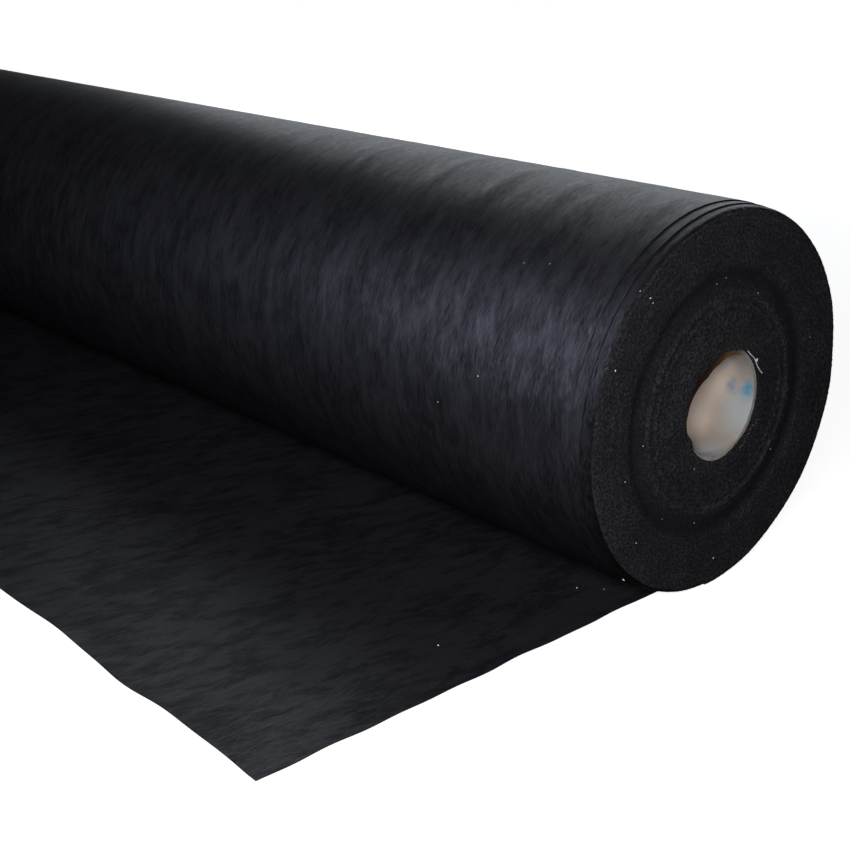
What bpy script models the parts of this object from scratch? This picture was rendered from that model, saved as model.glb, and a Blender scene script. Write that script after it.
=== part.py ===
"""A roll of black spunbond fleece on a cardboard core, with its free end laid out on the floor.

Metres, +Z up. The roll lies along X on the floor z = 0. The origin is on the line where the sheet
leaves the roll, at the middle of the roll's length. The free end runs towards -Y.
The end that the cut-back outer wraps leave bare is the near end, at +X.
"""

import math

import bpy

MM = 0.001

# The sheet and the roll that it is wound into
SHEET_WIDTH = 1600 * MM
SHEET_THICKNESS = 0.5 * MM
LAYER_GAP = 0.35 * MM
ROLL_RADIUS = 140 * MM
SEAT_GAP = 0.3 * MM

# The cardboard core, a 3 inch tube
CORE_BORE_RADIUS = 38 * MM
CORE_WALL = 3 * MM
CORE_RECESS = 3 * MM

# The tape that holds the sheet's first edge to the core
TAPE_THICKNESS = 0.3 * MM
TAPE_FIRST_FACET = 33
TAPE_FACETS = 6

# The windings, in three runs whose edges stand a little in or out of line
INNER_RUN_THICKNESS = 26 * MM
MIDDLE_RUN_THICKNESS = 28 * MM
INNER_RUN_SHIFT = -2.5 * MM
MIDDLE_RUN_SHIFT = -1.5 * MM
RIDGE_HEIGHT = 1.5 * MM
RIDGE_WIDTH = 2.5 * MM
FIRST_RIDGE_DISTANCE = 3 * MM
SECOND_RIDGE_DISTANCE = 10 * MM
GROOVE_WIDTH = 7 * MM
GROOVE_DEPTH = 4 * MM
EDGE_ROUND_WIDTH = 5 * MM
EDGE_ROUND_DEPTH = 3 * MM

# The two outer wraps stand back from the near end, and so past the far end
SECOND_WRAP_SHIFT = -8 * MM
OUTERMOST_WRAP_SHIFT = -17 * MM

# The free end, which curls in strips
TAIL_STRIPS = 8
TAIL_STRIP_LENGTH = 45.5 * MM
TAIL_SETBACK = 2 * MM
HINGE_GAP = 0.3 * MM

# The roll's weight flattens it on the floor over the flat facets at each side of the contact line.
FACETS = 72
FLAT_FACETS = 1
SHARP_ANGLE = math.radians(30)

FACET_ANGLE = 2 * math.pi / FACETS
LAYER_PITCH = SHEET_THICKNESS + LAYER_GAP
AXIS_HEIGHT = ROLL_RADIUS * math.cos(FACET_ANGLE * FLAT_FACETS)
HALF_WIDTH = SHEET_WIDTH / 2

# Each look is a colour and a roughness.
FLEECE = ((0.012, 0.012, 0.014), 0.7)
CARDBOARD = ((0.27, 0.235, 0.195), 0.85)
TAPE = ((0.75, 0.74, 0.70), 0.5)


def clear_scene():
    for obj in list(bpy.data.objects):
        bpy.data.objects.remove(obj)


def make_material(name, look):
    colour, roughness = look
    material = bpy.data.materials.new(name)
    material.use_nodes = True
    shader = material.node_tree.nodes["Principled BSDF"]
    shader.inputs["Base Color"].default_value = (*colour, 1.0)
    shader.inputs["Roughness"].default_value = roughness
    shader.inputs["Metallic"].default_value = 0.0
    material.diffuse_color = (*colour, 1.0)
    return material


def make_mesh(name, points, faces):
    mesh = bpy.data.meshes.new(name)
    mesh.from_pydata(points, [], faces)
    mesh.validate()
    mesh.shade_smooth()
    mesh.set_sharp_from_angle(angle=SHARP_ANGLE)
    return mesh


def place(name, mesh, look, location=(0, 0, 0)):
    obj = bpy.data.objects.new(name, mesh)
    obj.location = location
    mesh.materials.append(make_material(f"{name}_material", look))
    bpy.context.scene.collection.objects.link(obj)


def spiral_point(turns, depth):
    """(y, z) of the wound sheet, so many turns in from the contact line and so deep below its outer face.

    The spiral leaves the floor at the back (+Y), goes over the top and comes down the front."""
    radius = ROLL_RADIUS - LAYER_PITCH * turns - depth
    angle = 2 * math.pi * turns
    bottom = round(turns)
    height = AXIS_HEIGHT - radius * math.cos(angle)
    if abs(turns - bottom) * FACETS < FLAT_FACETS + 0.5:
        height = LAYER_PITCH * bottom + depth
    return radius * math.sin(angle), height


def circle(radius):
    """One (y, z) point for each facet of a circle round the roll's axis, from the bottom."""
    angles = [FACET_ANGLE * facet for facet in range(FACETS)]
    return [(radius * math.sin(a), AXIS_HEIGHT - radius * math.cos(a)) for a in angles]


def ring_solid(name, rows, look):
    """A closed ring. Each row is (x, loop of (y, z)), and the rows go round the ring's section:
    across the near end outwards, along the outside, across the far end inwards and back through the bore."""
    points = [(x, y, z) for x, loop in rows for y, z in loop]
    count = len(rows[0][1])
    faces = []
    for row in range(len(rows)):
        following = (row + 1) % len(rows)
        for k in range(count):
            after = (k + 1) % count
            faces.append(
                (row * count + k, following * count + k, following * count + after, row * count + after)
            )
    place(name, make_mesh(name, points, faces), look)


def sheet_solid(name, outer, inner, near, far, look):
    """A sheet that follows two open rows of (y, z), its outer and inner face, from x = near to x = far."""
    section = outer + inner[::-1]
    count = len(section)
    points = [(near, y, z) for y, z in section] + [(far, y, z) for y, z in section]
    faces = [(k, k + count, (k + 1) % count + count, (k + 1) % count) for k in range(count)]
    for k in range(len(outer) - 1):
        mirror = count - 1 - k
        faces.append((k, k + 1, mirror - 1, mirror))
        faces.append((mirror + count, mirror - 1 + count, k + 1 + count, k + count))
    place(name, make_mesh(name, points, faces), look)


def ends(shift):
    """The near and far x of a run of sheet that is shifted along the roll."""
    return HALF_WIDTH + shift, -HALF_WIDTH + shift


def core_tube():
    near, far = HALF_WIDTH - CORE_RECESS, -HALF_WIDTH + CORE_RECESS
    bore = circle(CORE_BORE_RADIUS)
    outside = circle(CORE_BORE_RADIUS + CORE_WALL)
    ring_solid("core_tube", [(near, bore), (near, outside), (far, outside), (far, bore)], CARDBOARD)


def start_tape():
    """The tape along the core, over a few facets of it."""
    seat = CORE_BORE_RADIUS + CORE_WALL + SEAT_GAP
    facets = range(TAPE_FIRST_FACET, TAPE_FIRST_FACET + TAPE_FACETS + 1)
    outer = [circle(seat + TAPE_THICKNESS)[facet] for facet in facets]
    inner = [circle(seat)[facet] for facet in facets]
    near, far = HALF_WIDTH - CORE_RECESS, -HALF_WIDTH + CORE_RECESS
    sheet_solid("start_tape", outer, inner, near, far, TAPE)


def first_wrap_bore():
    """The bore of the windings: it seats on the core, and steps over the tape."""
    seat = CORE_BORE_RADIUS + CORE_WALL + SEAT_GAP
    over_tape = seat + TAPE_THICKNESS + SEAT_GAP
    stepped = range(TAPE_FIRST_FACET - 1, TAPE_FIRST_FACET + TAPE_FACETS + 2)
    return [
        wide if facet in stepped else close
        for facet, (close, wide) in enumerate(zip(circle(seat), circle(over_tape)))
    ]


INNER_RUN_RADIUS = CORE_BORE_RADIUS + CORE_WALL + SEAT_GAP + INNER_RUN_THICKNESS
MIDDLE_RUN_BORE = INNER_RUN_RADIUS + SEAT_GAP
MIDDLE_RUN_RADIUS = MIDDLE_RUN_BORE + MIDDLE_RUN_THICKNESS
OUTER_RUN_BORE = MIDDLE_RUN_RADIUS + SEAT_GAP


def windings_inner():
    near, far = ends(INNER_RUN_SHIFT)
    bore, outside = first_wrap_bore(), circle(INNER_RUN_RADIUS)
    ring_solid("windings_inner", [(near, bore), (near, outside), (far, outside), (far, bore)], FLEECE)


def middle_run_steps():
    """(radius, shift) across the middle run's end, outwards: two ridges, then the groove of its last wraps."""
    steps = [(MIDDLE_RUN_BORE, 0)]
    for distance in (FIRST_RIDGE_DISTANCE, SECOND_RIDGE_DISTANCE):
        foot = MIDDLE_RUN_BORE + distance
        steps += [(foot, 0), (foot + RIDGE_WIDTH / 2, RIDGE_HEIGHT), (foot + RIDGE_WIDTH, 0)]
    groove_side = MIDDLE_RUN_RADIUS - GROOVE_WIDTH
    steps += [(groove_side, 0), (groove_side + GROOVE_WIDTH / 2, -GROOVE_DEPTH)]
    return steps + [(MIDDLE_RUN_RADIUS, -GROOVE_DEPTH)]


def windings_middle():
    """A wrap that stands out at the near end stands in by as much at the far end."""
    near, far = ends(MIDDLE_RUN_SHIFT)
    steps = middle_run_steps()
    rows = [(near + shift, circle(radius)) for radius, shift in steps]
    rows += [(far + shift, circle(radius)) for radius, shift in reversed(steps)]
    ring_solid("windings_middle", rows, FLEECE)


def windings_outer():
    """The last windings under the two outer wraps. Its outside is a turn of the spiral."""
    near, far = ends(0)
    bore = circle(OUTER_RUN_BORE)
    turns = [2 + facet / FACETS for facet in range(FACETS)]
    outside = [spiral_point(turn, 0) for turn in turns]
    shoulder = [spiral_point(turn, EDGE_ROUND_WIDTH) for turn in turns]
    rows = [(near, bore), (near, shoulder), (near - EDGE_ROUND_DEPTH, outside)]
    rows += [(far + EDGE_ROUND_DEPTH, outside), (far, shoulder), (far, bore)]
    ring_solid("windings_outer", rows, FLEECE)


def wrap_rows(turns):
    return [spiral_point(turn, 0) for turn in turns], [spiral_point(turn, SHEET_THICKNESS) for turn in turns]


def second_wrap():
    """It stops one facet short of the contact line, where the windings below step up to meet it."""
    outer, inner = wrap_rows([1 + facet / FACETS for facet in range(FACETS)])
    near, far = ends(SECOND_WRAP_SHIFT)
    sheet_solid("second_wrap", outer, inner, near, far, FLEECE)


def hinge_y(strip):
    """Where strip number 1, 2, 3 ... of the free end is hinged to what carries it."""
    return -(TAIL_SETBACK + TAIL_STRIP_LENGTH * (strip - 0.5))


def outermost_wrap():
    """The last wrap, with the first stretch of the free end that lies under the roll's front."""
    join = 1 - SEAT_GAP / (2 * math.pi * ROLL_RADIUS)
    outer, inner = wrap_rows([facet / FACETS for facet in range(FACETS)] + [join])
    flat_end = hinge_y(1) + HINGE_GAP / 2
    near, far = ends(OUTERMOST_WRAP_SHIFT)
    outer.insert(0, (flat_end, 0))
    inner.insert(0, (flat_end, SHEET_THICKNESS))
    sheet_solid("outermost_wrap", outer, inner, near, far, FLEECE)


def tail_strips():
    """The free end, cut where it bends. Each strip's origin is on its hinge line, in its upper face."""
    near, far = ends(OUTERMOST_WRAP_SHIFT)
    start, end = -HINGE_GAP / 2, -TAIL_STRIP_LENGTH + HINGE_GAP / 2
    section = [(end, -SHEET_THICKNESS), (start, -SHEET_THICKNESS), (start, 0), (end, 0)]
    points = [(x, y, z) for x in (near, far) for y, z in section]
    faces = [(0, 1, 2, 3), (7, 6, 5, 4), (0, 4, 5, 1), (1, 5, 6, 2), (2, 6, 7, 3), (3, 7, 4, 0)]
    for strip in range(1, TAIL_STRIPS + 1):
        name = f"tail_strip_{strip}"
        place(name, make_mesh(name, points, faces), FLEECE, (0, hinge_y(strip), SHEET_THICKNESS))


def main():
    clear_scene()
    core_tube()
    start_tape()
    windings_inner()
    windings_middle()
    windings_outer()
    second_wrap()
    outermost_wrap()
    tail_strips()


main()
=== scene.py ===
"""The looks of a roll of black spunbond fleece on a cardboard core, with its free end laid out.

Metres. +X runs along the roll to the near end, -Y along the free end, +Z up.
Angles round the roll start at the floor and go by the back (+Y), the top and the front (-Y).
Turns of the sheet are counted from the contact line inwards.
A set of waves names its seed where it has one of its own, their number, and the shortest and longest wave.
"""

import math
import random

import bpy
import numpy as np
from mathutils import Matrix, Vector


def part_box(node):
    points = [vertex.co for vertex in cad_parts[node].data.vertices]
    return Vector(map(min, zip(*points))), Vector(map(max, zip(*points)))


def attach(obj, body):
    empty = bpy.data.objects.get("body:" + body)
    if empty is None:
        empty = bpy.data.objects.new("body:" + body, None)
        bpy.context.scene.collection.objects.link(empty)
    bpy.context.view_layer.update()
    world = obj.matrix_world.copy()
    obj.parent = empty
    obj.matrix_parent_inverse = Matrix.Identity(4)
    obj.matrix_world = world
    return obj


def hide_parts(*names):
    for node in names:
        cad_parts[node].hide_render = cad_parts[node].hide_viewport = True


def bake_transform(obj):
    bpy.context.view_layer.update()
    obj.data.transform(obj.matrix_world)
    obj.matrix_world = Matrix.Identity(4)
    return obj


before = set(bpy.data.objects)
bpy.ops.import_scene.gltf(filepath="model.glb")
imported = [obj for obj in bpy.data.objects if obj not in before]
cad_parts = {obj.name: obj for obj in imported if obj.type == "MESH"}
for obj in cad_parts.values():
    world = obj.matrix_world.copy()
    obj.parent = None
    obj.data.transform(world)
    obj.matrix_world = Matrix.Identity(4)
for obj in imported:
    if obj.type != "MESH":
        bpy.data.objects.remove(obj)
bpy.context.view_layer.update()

MM = 0.001
FULL_TURN = 2 * math.pi

# The roll, from the frame
ROLL_LOW, ROLL_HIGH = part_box("windings_outer")
CORE_LOW, CORE_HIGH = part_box("core_tube")
NEAR_X, FAR_X = ROLL_HIGH.x, ROLL_LOW.x
WIDTH = NEAR_X - FAR_X
AXIS_Z = (CORE_LOW.z + CORE_HIGH.z) / 2
CORE_RADIUS = (CORE_HIGH.z - CORE_LOW.z) / 2
ROLL_RADIUS = 140 * MM
CORE_WALL = 3 * MM
BORE_RADIUS = CORE_RADIUS - CORE_WALL
WRAP_PITCH = 0.85 * MM
SHEET_THICKNESS = 0.5 * MM
SEAT_GAP = 0.3 * MM
HAIR_GAP = 0.05 * MM
INNER_RUN_DEPTH = 26 * MM
MIDDLE_RUN_DEPTH = 28 * MM
INNER_RUN_RADIUS = CORE_RADIUS + SEAT_GAP + INNER_RUN_DEPTH
MIDDLE_RUN_RADIUS = INNER_RUN_RADIUS + SEAT_GAP + MIDDLE_RUN_DEPTH

# The two outer wraps stand back from the near end
SECOND_WRAP_SHIFT = -8 * MM
OUTERMOST_WRAP_SHIFT = -17 * MM

# The free end
TAIL_STRIPS = 8
STRIP_LENGTH = 45.5 * MM
FIRST_HINGE = 24.75 * MM
TAIL_END = -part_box("tail_strip_8")[0].y

# Finish of the meshes: steps, and the angles in degrees past which an edge is sharp
TURN_STEPS = 480
FACE_STEPS = 720
CORE_STEPS = 240
LENGTH_STEP = 5 * MM
FINE_PLACES = 8
WOUND_SHARP = 40
CORE_SHARP = 50
FLAKE_SHARP = 20


def smooth(values):
    """A smooth step from 0 to 1 for values from 0 to 1."""
    t = np.clip(values, 0, 1)
    return t * t * (3 - 2 * t)


def bump(values, centre, width):
    """A smooth bump that is 1 at its centre."""
    return np.exp(-(((values - centre) / width) ** 2))


WAVE_CALM = 1.5


def waves(seed, count, shortest, longest, *axes):
    """A smooth random relief over the given coordinates, mostly from -1 to 1, as a sum of sines."""
    rng = np.random.default_rng(seed)
    total = np.zeros(np.broadcast(*axes).shape)
    for _ in range(count):
        direction = rng.normal(size=len(axes))
        direction /= np.linalg.norm(direction)
        length = math.exp(rng.uniform(math.log(shortest), math.log(longest)))
        phase = sum(d * axis for d, axis in zip(direction, axes)) * FULL_TURN / length
        total = total + np.sin(phase + rng.uniform(0, FULL_TURN))
    return total / math.sqrt(count) / WAVE_CALM


def swell(seed, count, shortest, longest, *axes):
    """The same relief, mostly from 0 to 1."""
    return 0.5 + 0.5 * waves(seed, count, shortest, longest, *axes)


def put(name, data):
    """A new object in the scene."""
    obj = bpy.data.objects.new(name, data)
    bpy.context.scene.collection.objects.link(obj)
    return obj


def make_object(name, points, faces, smooth_angle=None):
    """A smooth mesh object, with its edges sharp past an angle in degrees."""
    mesh = bpy.data.meshes.new(name)
    mesh.from_pydata(points.tolist(), [], faces)
    mesh.shade_smooth()
    if smooth_angle is not None:
        mesh.set_sharp_from_angle(angle=math.radians(smooth_angle))
    return put(name, mesh)


def quads(rows, cols, closed=False, offset=0, flip=False):
    """The quads of a grid of points stored row by row. A closed one joins up in both directions."""
    row = np.arange(rows if closed else rows - 1)[:, None]
    col = np.arange(cols if closed else cols - 1)[None, :]
    next_row, next_col = (row + 1) % rows, (col + 1) % cols
    a, b = row * cols + col, row * cols + next_col
    c, d = next_row * cols + next_col, next_row * cols + col
    order = (a, d, c, b) if flip else (a, b, c, d)
    return (np.stack(order, -1).reshape(-1, 4) + offset).tolist()


def set_web_map(obj, coordinates):
    """Stores where each point is on the flat sheet, in metres, for the materials."""
    layer = obj.data.uv_layers.new(name="web")
    loops = np.zeros(len(obj.data.loops), np.int32)
    obj.data.loops.foreach_get("vertex_index", loops)
    layer.data.foreach_set("uv", coordinates[loops].astype(np.float32).ravel())


def sheet_object(name, upper, lower, web, smooth_angle=None):
    """A thin closed sheet from two grids of points, one for each face, and the sheet's flat coordinates."""
    rows, cols = upper.shape[:2]
    count = rows * cols
    faces = quads(rows, cols) + quads(rows, cols, offset=count, flip=True)
    top = np.arange(count).reshape(rows, cols)
    rim = [*top[0, :], *top[1:, -1], *top[-1, -2::-1], *top[-2:0:-1, 0]]
    for k, here in enumerate(rim):
        after = rim[(k + 1) % len(rim)]
        faces.append([int(after), int(here), int(here) + count, int(after) + count])
    points = np.concatenate([upper.reshape(-1, 3), lower.reshape(-1, 3)])
    obj = make_object(name, points, faces, smooth_angle)
    set_web_map(obj, np.concatenate([web.reshape(-1, 2)] * 2))
    return obj


# The two outer wraps

GAUGE_BANDS = 0.07 * MM
GAUGE_WAVES = (3, 14, 18 * MM, 160 * MM)
WRAP_RELIEF = 0.11 * MM
WRAP_WAVES = (5, 22, 50 * MM, 260 * MM)
WRAP_STRETCH_SHARE = 0.8
EDGE_LIFT = 0.6 * MM
EDGE_LIFT_REACH = 9 * MM
EDGE_LIFT_AT = 0.55
EDGE_LIFT_TURNS = 0.12
EDGE_FINE_SHARE = 1.5
EDGE_PRESS = 0.30 * MM
EDGE_THINNING = 0.36 * MM
EDGE_CRIMP = 0.25 * MM
CRIMP_WAVES = (12, 9 * MM, 120 * MM)
# Turns on each side of the contact line: where the floor flattens the sheet, where the sheet has no relief,
# and over how many its relief comes in
FLOOR_TURNS = 0.06
FLOOR_PLAIN_TURNS = 0.015
FLOOR_FADE_TURNS = 0.05
# The second wrap's inner end stays clear of the runs under it
SECOND_WRAP_END = 1.986
# Where the lumps on the top of the roll are, in turns, and how far they reach
TOP_AT, TOP_TURNS = 0.545, 0.055
# The lumps' places from the near end, widths and heights, in millimetres
TOP_LUMPS = [
    (38, 8, 0.7), (92, 12, 0.8), (121, 7, 0.9), (180, 7, 1.2), (242, 7, 1.0), (330, 7, 1.3),
    (349, 9, 0.9),
]


def wrap_relief(x, turn):
    """How far the wound sheet stands out: bands along the roll, soft dents and a few lumps on the top."""
    around = turn * FULL_TURN * ROLL_RADIUS
    bands = waves(*GAUGE_WAVES, x)
    dents = waves(*WRAP_WAVES, x * WRAP_STRETCH_SHARE, around)
    relief = GAUGE_BANDS * bands + WRAP_RELIEF * dents
    on_top = bump(turn, TOP_AT, TOP_TURNS)
    for place, width, height in np.array(TOP_LUMPS) * MM:
        relief = relief + height * bump(x, NEAR_X - place, width) * on_top
    off_floor = smooth((np.abs(turn - np.round(turn)) - FLOOR_PLAIN_TURNS) / FLOOR_FADE_TURNS)
    return relief * off_floor


def wrap_grid(x, turn, depth, lift):
    """Points of the wound sheet so many turns in from the contact line, flattened on the floor."""
    angle = turn * FULL_TURN
    radius = ROLL_RADIUS - WRAP_PITCH * turn - depth + lift
    height = AXIS_Z - radius * np.cos(angle)
    near_floor = np.abs(turn - np.round(turn)) < FLOOR_TURNS
    floor = WRAP_PITCH * np.round(turn) + depth
    height = np.where(near_floor, np.maximum(height, floor), height)
    return np.stack(np.broadcast_arrays(x, radius * np.sin(angle), height), -1)


def wrap_places(far, near):
    """Places along the roll, closer together in the last stretch before the near edge."""
    fine_from = near - EDGE_LIFT_REACH * EDGE_FINE_SHARE
    coarse = np.linspace(far, fine_from, round((fine_from - far) / LENGTH_STEP))
    return np.concatenate([coarse, np.linspace(fine_from, near, FINE_PLACES)[1:]])


def wound_wrap(name, first_turn, last_turn, shift, seed):
    """One turn of the sheet, shifted along the roll, with its near edge thinned, crimped and lifted."""
    near, far = NEAR_X + shift, FAR_X + shift
    x = wrap_places(far, near)[:, None]
    turn = np.linspace(first_turn, last_turn, TURN_STEPS)[None, :]
    crimp = EDGE_CRIMP * waves(seed, *CRIMP_WAVES, turn * FULL_TURN * ROLL_RADIUS)
    lift = wrap_relief(x, turn - first_turn)
    at_edge = smooth((x - near + EDGE_LIFT_REACH) / EDGE_LIFT_REACH)
    raised = bump(turn - first_turn, EDGE_LIFT_AT, EDGE_LIFT_TURNS)
    lift = lift + at_edge * (EDGE_LIFT * raised - EDGE_PRESS * (1 - raised))
    edge_x = x + crimp * at_edge
    upper = wrap_grid(edge_x, turn, 0.0, lift - EDGE_THINNING * at_edge)
    lower = wrap_grid(edge_x, turn, SHEET_THICKNESS, lift)
    web = np.stack(np.broadcast_arrays(turn * FULL_TURN * ROLL_RADIUS, x), -1)
    return sheet_object(name, upper[:, ::-1], lower[:, ::-1], web[:, ::-1], smooth_angle=WOUND_SHARP)


# The end faces, from the core outwards

# Radius as a share of the roll's, and how far the wraps' edges stand out there, in millimetres
FACE_PROFILE = [
    (0.295, -0.1), (0.320, -0.1), (0.380, -0.4), (0.430, -1.2), (0.474, -1.5), (0.490, -1.0),
    (0.503, -0.8), (0.519, -1.4), (0.538, -1.2), (0.552, -0.5), (0.563, -0.5), (0.582, -1.5),
    (0.604, -1.8), (0.628, -2.7), (0.655, -3.2), (0.675, -2.7), (0.700, -1.2), (0.730, -0.3),
    (0.800, 0.0), (0.900, 0.2), (1.000, 0.0),
]
FACE_ROW_STEP = 0.62 * WRAP_PITCH
LEAST_FACE_ROWS = 6
# Each wrap's own offset
RING_SEED = 11
RINGS = 240
RING_MIX_SHARES = [0.25, 0.5, 0.25]
RING_NOISE = 0.16 * MM
RING_MEAN, RING_SWAY = 0.65, 0.5
RING_WAVES = (8, 0.7, 2.5)
RING_STRETCH = 30
# The sway of the whole face, of its grooves and ridges, and of single fibres
FACE_SWAY = 0.5 * MM
FACE_WAVES = (12, 35 * MM, 150 * MM)
GROOVE_SWAY_SHARE = 0.011
GROOVE_WAVES = (6, 1.2, 3.0)
FIBRE_NOISE = 0.13 * MM
FAR_FACE_SEED = 50
# The roll's soft edge: where it is softest, how far that goes, and its reach and depth there and elsewhere
SOFT_AT = math.radians(285)
SOFT_REACH = math.radians(52)
SOFT_ROUNDING = (10 * MM, 5.5 * MM)
TIGHT_ROUNDING = (5 * MM, 2.5 * MM)
# The share of the soft edge from which the sheet's outer side shows
TURNED_FROM_SHARE = 0.62


def ring_offsets():
    """A small standing-out for each wrap, the same all round."""
    rings = np.random.default_rng(RING_SEED).normal(size=RINGS)
    return np.convolve(rings, RING_MIX_SHARES, mode="same")


RING_OFFSETS = ring_offsets()


def soft_edge(radius, angle, outer):
    """How far a radius lies into the soft edge of the roll, and how deep that edge is at an angle."""
    softest = bump(np.mod(angle, FULL_TURN), SOFT_AT, SOFT_REACH)
    reach, depth = (tight + (soft - tight) * softest for tight, soft in zip(TIGHT_ROUNDING, SOFT_ROUNDING))
    return np.clip((radius - outer + reach) / reach, 0, 1), depth


def edge_rounding(radius, angle, outer):
    """The last wraps are set back, most at the lower front, where the edge of the roll is soft."""
    share, depth = soft_edge(radius, angle, outer)
    return -depth * (1 - np.sqrt(np.maximum(1 - share**2, 0)))


def end_relief(radius, angle, seed):
    """How far the wraps' edges stand out at a radius and an angle."""
    shares, offsets = np.array(FACE_PROFILE).T
    round_about = (np.cos(angle), np.sin(angle))
    bend = GROOVE_SWAY_SHARE * waves(seed + 1, *GROOVE_WAVES, *round_about)
    relief = np.interp(radius / ROLL_RADIUS + bend, shares, offsets * MM)
    ring = np.floor(radius / WRAP_PITCH).astype(int) % len(RING_OFFSETS)
    strength = RING_MEAN + RING_SWAY * waves(seed + 2, *RING_WAVES, *round_about, radius * RING_STRETCH)
    relief = relief + RING_NOISE * RING_OFFSETS[ring] * strength
    across, up = radius * np.sin(angle), radius * np.cos(angle)
    relief = relief + FACE_SWAY * waves(seed + 3, *FACE_WAVES, across, up)
    return relief + FIBRE_NOISE * np.random.default_rng(seed).normal(size=relief.shape)


def face_rows(inner, outer):
    """Radii from the inside of a run to its outside, finer than its wraps."""
    count = max(LEAST_FACE_ROWS, round((outer - inner) / FACE_ROW_STEP))
    return np.linspace(inner, outer, count)


def round_the_axis(parts, key):
    """Places along the roll, radii and angles of a mesh's points or of its faces' centres."""
    values = np.zeros(len(parts) * 3)
    parts.foreach_get(key, values)
    x, y, z = values.reshape(-1, 3).T
    return x, np.hypot(y, z - AXIS_Z), np.arctan2(y, AXIS_Z - z)


def paint_outside(obj, material, outer):
    """The turned-over edge and the outside of the run show the sheet's face, not its cut edges."""
    mesh = obj.data
    mesh.materials.append(material)
    x, radius, angle = round_the_axis(mesh.polygons, "center")
    outer_here = outer - WRAP_PITCH * np.mod(angle, FULL_TURN) / FULL_TURN
    share = soft_edge(radius, np.where(x > 0, angle, angle + math.pi), outer_here)[0]
    mesh.polygons.foreach_set("material_index", (share > TURNED_FROM_SHARE).astype(np.int32))
    x, _, angle = round_the_axis(mesh.vertices, "co")
    set_web_map(obj, np.stack([angle * ROLL_RADIUS, x], -1))


# Rows of the lip that reaches over the core's rim: share of its width, and how far back from the face
LIP_ROWS = [(0.0, 0.5 * MM), (0.0, 0.3 * MM), (0.35, 0.1 * MM), (0.75, 0.0 * MM)]
LIP_FOOT = 0.6 * MM


def wound_run(name, inner, outer, seed, turns_in=None, lip=None):
    """A run of wraps with both end faces in detail. One that starts so many turns in follows the spiral."""
    angle = np.linspace(0, FULL_TURN, FACE_STEPS, endpoint=False)[None, :]
    radii = face_rows(inner, outer)[:, None]
    if turns_in is not None:
        turn = angle / FULL_TURN + turns_in
        stretch = (ROLL_RADIUS - WRAP_PITCH * turn - inner) / (outer - inner)
        radii = inner + (radii - inner) * stretch
    radii = radii + 0 * angle
    near = end_relief(radii, angle, seed)
    far = end_relief(radii, angle, seed + FAR_FACE_SEED)
    if turns_in is not None:
        near = near + edge_rounding(radii, angle, radii[-1:])
        far = far - edge_rounding(radii, angle + math.pi, radii[-1:])
    rows = [(radii[0], FAR_X + far[0])]
    if lip is not None:
        edge = lip(angle[0])
        rows.append((radii[0], NEAR_X + near[0] - LIP_FOOT))
        rows += [(edge + (radii[0] - edge) * share, NEAR_X + near[0] - back) for share, back in LIP_ROWS]
    rows += [(radii[k], NEAR_X + near[k]) for k in range(len(radii))]
    rows += [(radii[k], FAR_X + far[k]) for k in range(len(radii) - 1, 0, -1)]
    radius = np.stack([around for around, _ in rows])
    x = np.stack([place for _, place in rows])
    height = AXIS_Z - radius * np.cos(angle)
    if turns_in is not None:
        height = np.maximum(height, WRAP_PITCH * turns_in)
    points = np.stack([x, radius * np.sin(angle), height], -1)
    faces = quads(len(rows), FACE_STEPS, closed=True, flip=True)
    return make_object(name, points.reshape(-1, 3), faces, smooth_angle=WOUND_SHARP)


# The mouth, where the first wraps' edges reach over the core's rim: angle in degrees, radius in millimetres
MOUTH_EDGE = [
    (0, 40.1), (30, 39.2), (59, 41.1), (71, 41.2), (84, 39.9), (94, 41.2), (101, 40.4), (111, 41.2),
    (124, 40.7), (144, 41.2), (158, 40.0), (175, 38.5), (199, 36.8), (214, 35.2), (230, 36.6),
    (249, 37.5), (273, 39.4), (288, 38.6), (302, 35.8), (316, 38.7), (344, 39.8), (360, 40.1),
]
# The inner edge of the core's rim, which is dented inwards at the upper front, in the same way
RIM_EDGE = [
    (0, 38.0), (138, 38.0), (147, 38.4), (162, 36.4), (191, 31.2), (217, 29.4), (232, 31.8),
    (246, 34.2), (262, 35.9), (276, 37.4), (290, 38.0), (360, 38.0),
]
DENT_LENGTH = 6 * MM
MOUTH_RAGGED = 0.16 * MM
MOUTH_WAVES = (71, 14, 0.05, 0.35)


def table_at(table, angle):
    """A radius from a table of angles in degrees and radii in millimetres."""
    return np.interp(np.degrees(angle), *np.array(table).T) * MM


def mouth_edge(angle):
    """The radius of the ragged edge of the mouth."""
    return table_at(MOUTH_EDGE, angle) + MOUTH_RAGGED * waves(*MOUTH_WAVES, np.cos(angle), np.sin(angle))


# The core

RIM_BACK = 1.1 * MM
RIM_RAGGED = 0.15 * MM
RIM_WAVES = (18, 0.08, 0.9)
RIM_ROUGH = 0.10 * MM
RIM_SHARES = [0.12, 0.5, 0.88]
NEAR_RIM_SEED, FAR_RIM_SEED, ROUGH_SEED = 31, 32, 34
BORE_RELIEF = 0.12 * MM
BORE_WAVES = (33, 20, 10 * MM, 60 * MM)
SEAM_PITCH = 105 * MM
SEAM_WIDTH = 1.6 * MM
SEAM_DEPTH = 0.35 * MM
# Where along the core its rows get finer, and how many there are before and after that
FINE_FROM_SHARE = 0.72
CORE_ROWS, CORE_FINE_ROWS = 90, 210


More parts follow.
